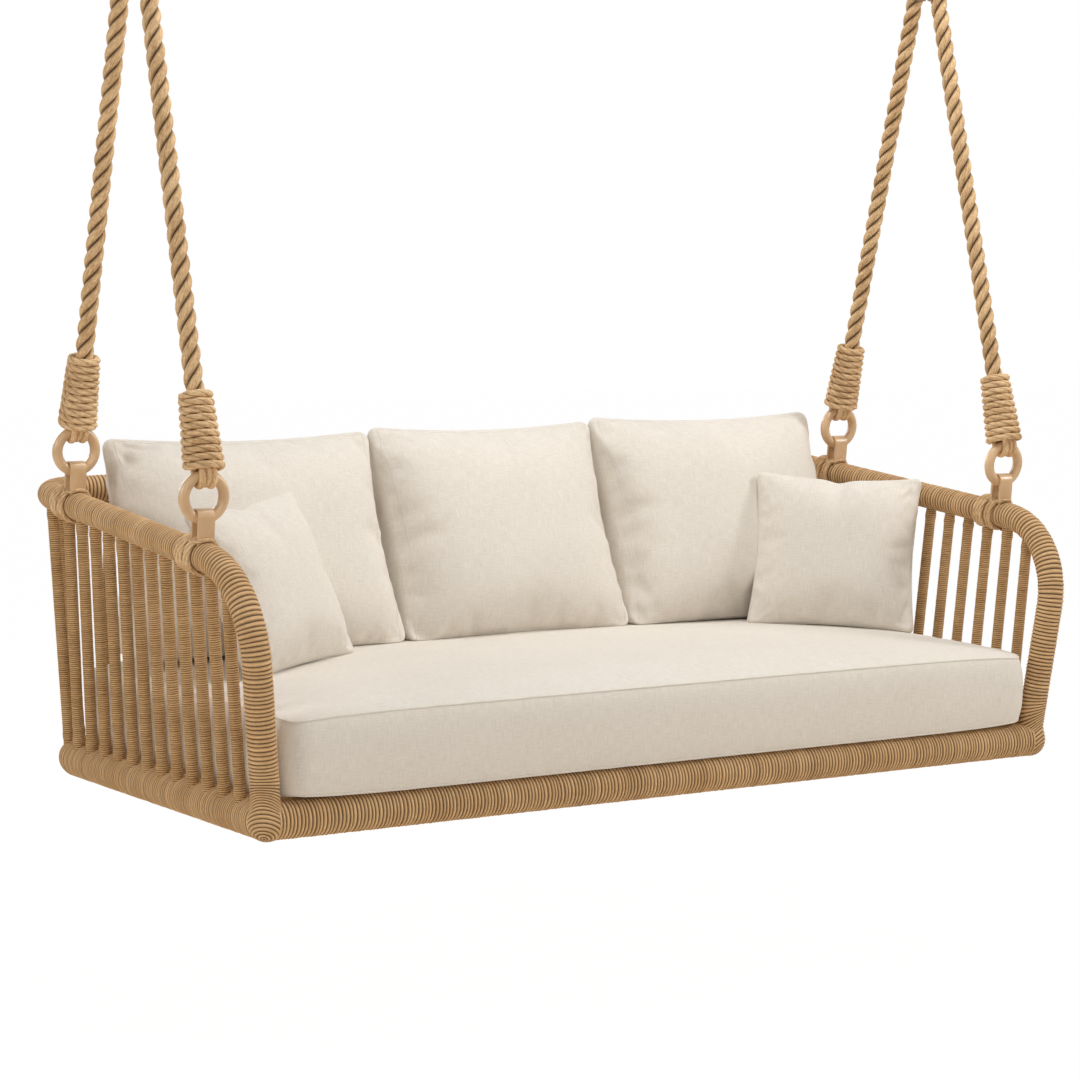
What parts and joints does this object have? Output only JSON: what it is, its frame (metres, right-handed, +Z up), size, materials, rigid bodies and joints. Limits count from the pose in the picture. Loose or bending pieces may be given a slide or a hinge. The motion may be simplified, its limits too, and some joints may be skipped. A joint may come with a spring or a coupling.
{
  "type": "hanging sofa",
  "caption": "Cord-wrapped hanging sofa with slatted arms and back, loose cushions and two rope pairs on ceiling brackets; it swings and sways.",
  "frame": {"origin": "on the ceiling plane, midway between the two ceiling brackets", "axes": "+X from the sitter's right hand to the left hand as seen from the front, left to right; +Y to the back of the sofa; +Z up"},
  "size_m": [1.992, 0.9791, 1.806],
  "materials": {
    "painted_fittings": "satin",
    "steel_pins": "satin",
    "natural_rope": "matte",
    "whipping_cord": "matte",
    "beige_coated_fittings": "satin",
    "steel_tube": "satin",
    "aluminium_tube": "satin",
    "wound_cord_rails": "matte",
    "wound_cord_slats": "matte",
    "wood": "matte",
    "cream_fabric": "matte"
  },
  "bodies": {
    "ceiling": {"ceiling_bracket_left": "painted_fittings", "ceiling_bracket_right": "painted_fittings", "swing_pins": "steel_pins"},
    "left_link": {"swing_link_left": "painted_fittings", "sway_pin_left": "steel_pins"},
    "left_ropes": {"rope_socket_front_left": "painted_fittings", "rope_socket_rear_left": "painted_fittings", "rope_front_left": "natural_rope", "rope_rear_left": "natural_rope", "rope_eye_front_left": "natural_rope", "rope_eye_rear_left": "natural_rope", "whipping_front_left": "whipping_cord", "whipping_rear_left": "whipping_cord"},
    "right_link": {"swing_link_right": "painted_fittings", "sway_pin_right": "steel_pins"},
    "right_ropes": {"rope_socket_front_right": "painted_fittings", "rope_socket_rear_right": "painted_fittings", "rope_front_right": "natural_rope", "rope_rear_right": "natural_rope", "rope_eye_front_right": "natural_rope", "rope_eye_rear_right": "natural_rope", "whipping_front_right": "whipping_cord", "whipping_rear_right": "whipping_cord"},
    "sofa": {"lug_front_left": "beige_coated_fittings", "lug_rear_left": "beige_coated_fittings", "lug_front_right": "beige_coated_fittings", "lug_rear_right": "beige_coated_fittings", "lug_lashings": "whipping_cord", "base_tube_front": "steel_tube", "base_tube_rear": "aluminium_tube", "base_tube_left": "aluminium_tube", "base_tube_right": "aluminium_tube", "arm_tube_left": "steel_tube", "arm_tube_right": "steel_tube", "back_tube": "aluminium_tube", "base_cover_front": "wound_cord_rails", "base_cover_rear": "wound_cord_rails", "base_cover_left": "wound_cord_rails", "base_cover_right": "wound_cord_rails", "arm_cover_left": "wound_cord_rails", "arm_cover_right": "wound_cord_rails", "back_cover": "wound_cord_rails", "side_slats_left": "wound_cord_slats", "side_slats_right": "wound_cord_slats", "back_slats_row": "wound_cord_slats", "slat_rods": "wood", "deck_bars": "wood", "deck_bearer": "steel_tube"},
    "front_left_ring": {"ring_front_left": "beige_coated_fittings"},
    "rear_left_ring": {"ring_rear_left": "beige_coated_fittings"},
    "front_right_ring": {"ring_front_right": "beige_coated_fittings"},
    "rear_right_ring": {"ring_rear_right": "beige_coated_fittings"},
    "seat": {"seat_cushion": "cream_fabric"},
    "back_cushion_left": {"back_cushion_left": "cream_fabric"},
    "back_cushion_middle": {"back_cushion_middle": "cream_fabric"},
    "back_cushion_right": {"back_cushion_right": "cream_fabric"},
    "throw_pillow_left": {"throw_pillow_left": "cream_fabric"},
    "throw_pillow_right": {"throw_pillow_right": "cream_fabric"}
  },
  "joints": [
    {"name": "swing_left", "type": "hinge", "parent": "ceiling", "child": "left_link", "pos_m": [-0.931, 0, -0.06], "axis": [1, 0, 0], "range_deg": [-18, 18]},
    {"name": "swing_right", "type": "hinge", "parent": "ceiling", "child": "right_link", "pos_m": [0.931, 0, -0.06], "axis": [1, 0, 0], "range_deg": [-18, 18]},
    {"name": "sway_left", "type": "hinge", "parent": "left_link", "child": "left_ropes", "pos_m": [-0.931, 0, -0.13], "axis": [0, 0.9949, 0.1008], "range_deg": [-7, 7]},
    {"name": "sway_right", "type": "hinge", "parent": "right_link", "child": "right_ropes", "pos_m": [0.931, 0, -0.13], "axis": [0, 0.9949, 0.1008], "range_deg": [-7, 7]},
    {"name": "level_left", "type": "hinge", "parent": "left_ropes", "child": "sofa", "pos_m": [-0.931, -0.26568, -1.20699], "axis": [0, 0.9949, 0.1008], "range_deg": [-7, 7]},
    {"name": "ring_turn_front_left", "type": "hinge", "parent": "sofa", "child": "front_left_ring", "pos_m": [-0.931, -0.26568, -1.20699], "axis": [0, 0.9949, 0.1008], "continuous": true},
    {"name": "ring_turn_rear_left", "type": "hinge", "parent": "sofa", "child": "rear_left_ring", "pos_m": [-0.931, 0.29232, -1.15047], "axis": [0, 0.9949, 0.1008], "continuous": true},
    {"name": "ring_turn_front_right", "type": "hinge", "parent": "sofa", "child": "front_right_ring", "pos_m": [0.931, -0.26568, -1.20699], "axis": [0, 0.9949, 0.1008], "continuous": true},
    {"name": "ring_turn_rear_right", "type": "hinge", "parent": "sofa", "child": "rear_right_ring", "pos_m": [0.931, 0.29232, -1.15047], "axis": [0, 0.9949, 0.1008], "continuous": true},
    {"name": "seat_lift", "type": "slide", "parent": "sofa", "child": "seat", "axis": [0, -0.1736, 0.9848], "range_m": [0, 0.2]},
    {"name": "back_cushion_left_lift", "type": "slide", "parent": "seat", "child": "back_cushion_left", "axis": [0, -0.1736, 0.9848], "range_m": [0, 0.2]},
    {"name": "back_cushion_middle_lift", "type": "slide", "parent": "seat", "child": "back_cushion_middle", "axis": [0, -0.1736, 0.9848], "range_m": [0, 0.2]},
    {"name": "back_cushion_right_lift", "type": "slide", "parent": "seat", "child": "back_cushion_right", "axis": [0, -0.1736, 0.9848], "range_m": [0, 0.2]},
    {"name": "throw_pillow_left_lift", "type": "slide", "parent": "back_cushion_left", "child": "throw_pillow_left", "axis": [0, 0, 1], "range_m": [0, 0.15]},
    {"name": "throw_pillow_right_lift", "type": "slide", "parent": "back_cushion_right", "child": "throw_pillow_right", "axis": [0, 0, 1], "range_m": [0, 0.15]}
  ],
  "couplings": [
    {"joint": "swing_right", "follows": "swing_left", "ratio": 1},
    {"joint": "sway_right", "follows": "sway_left", "ratio": 1},
    {"joint": "level_left", "follows": "sway_left", "ratio": -1}
  ]
}
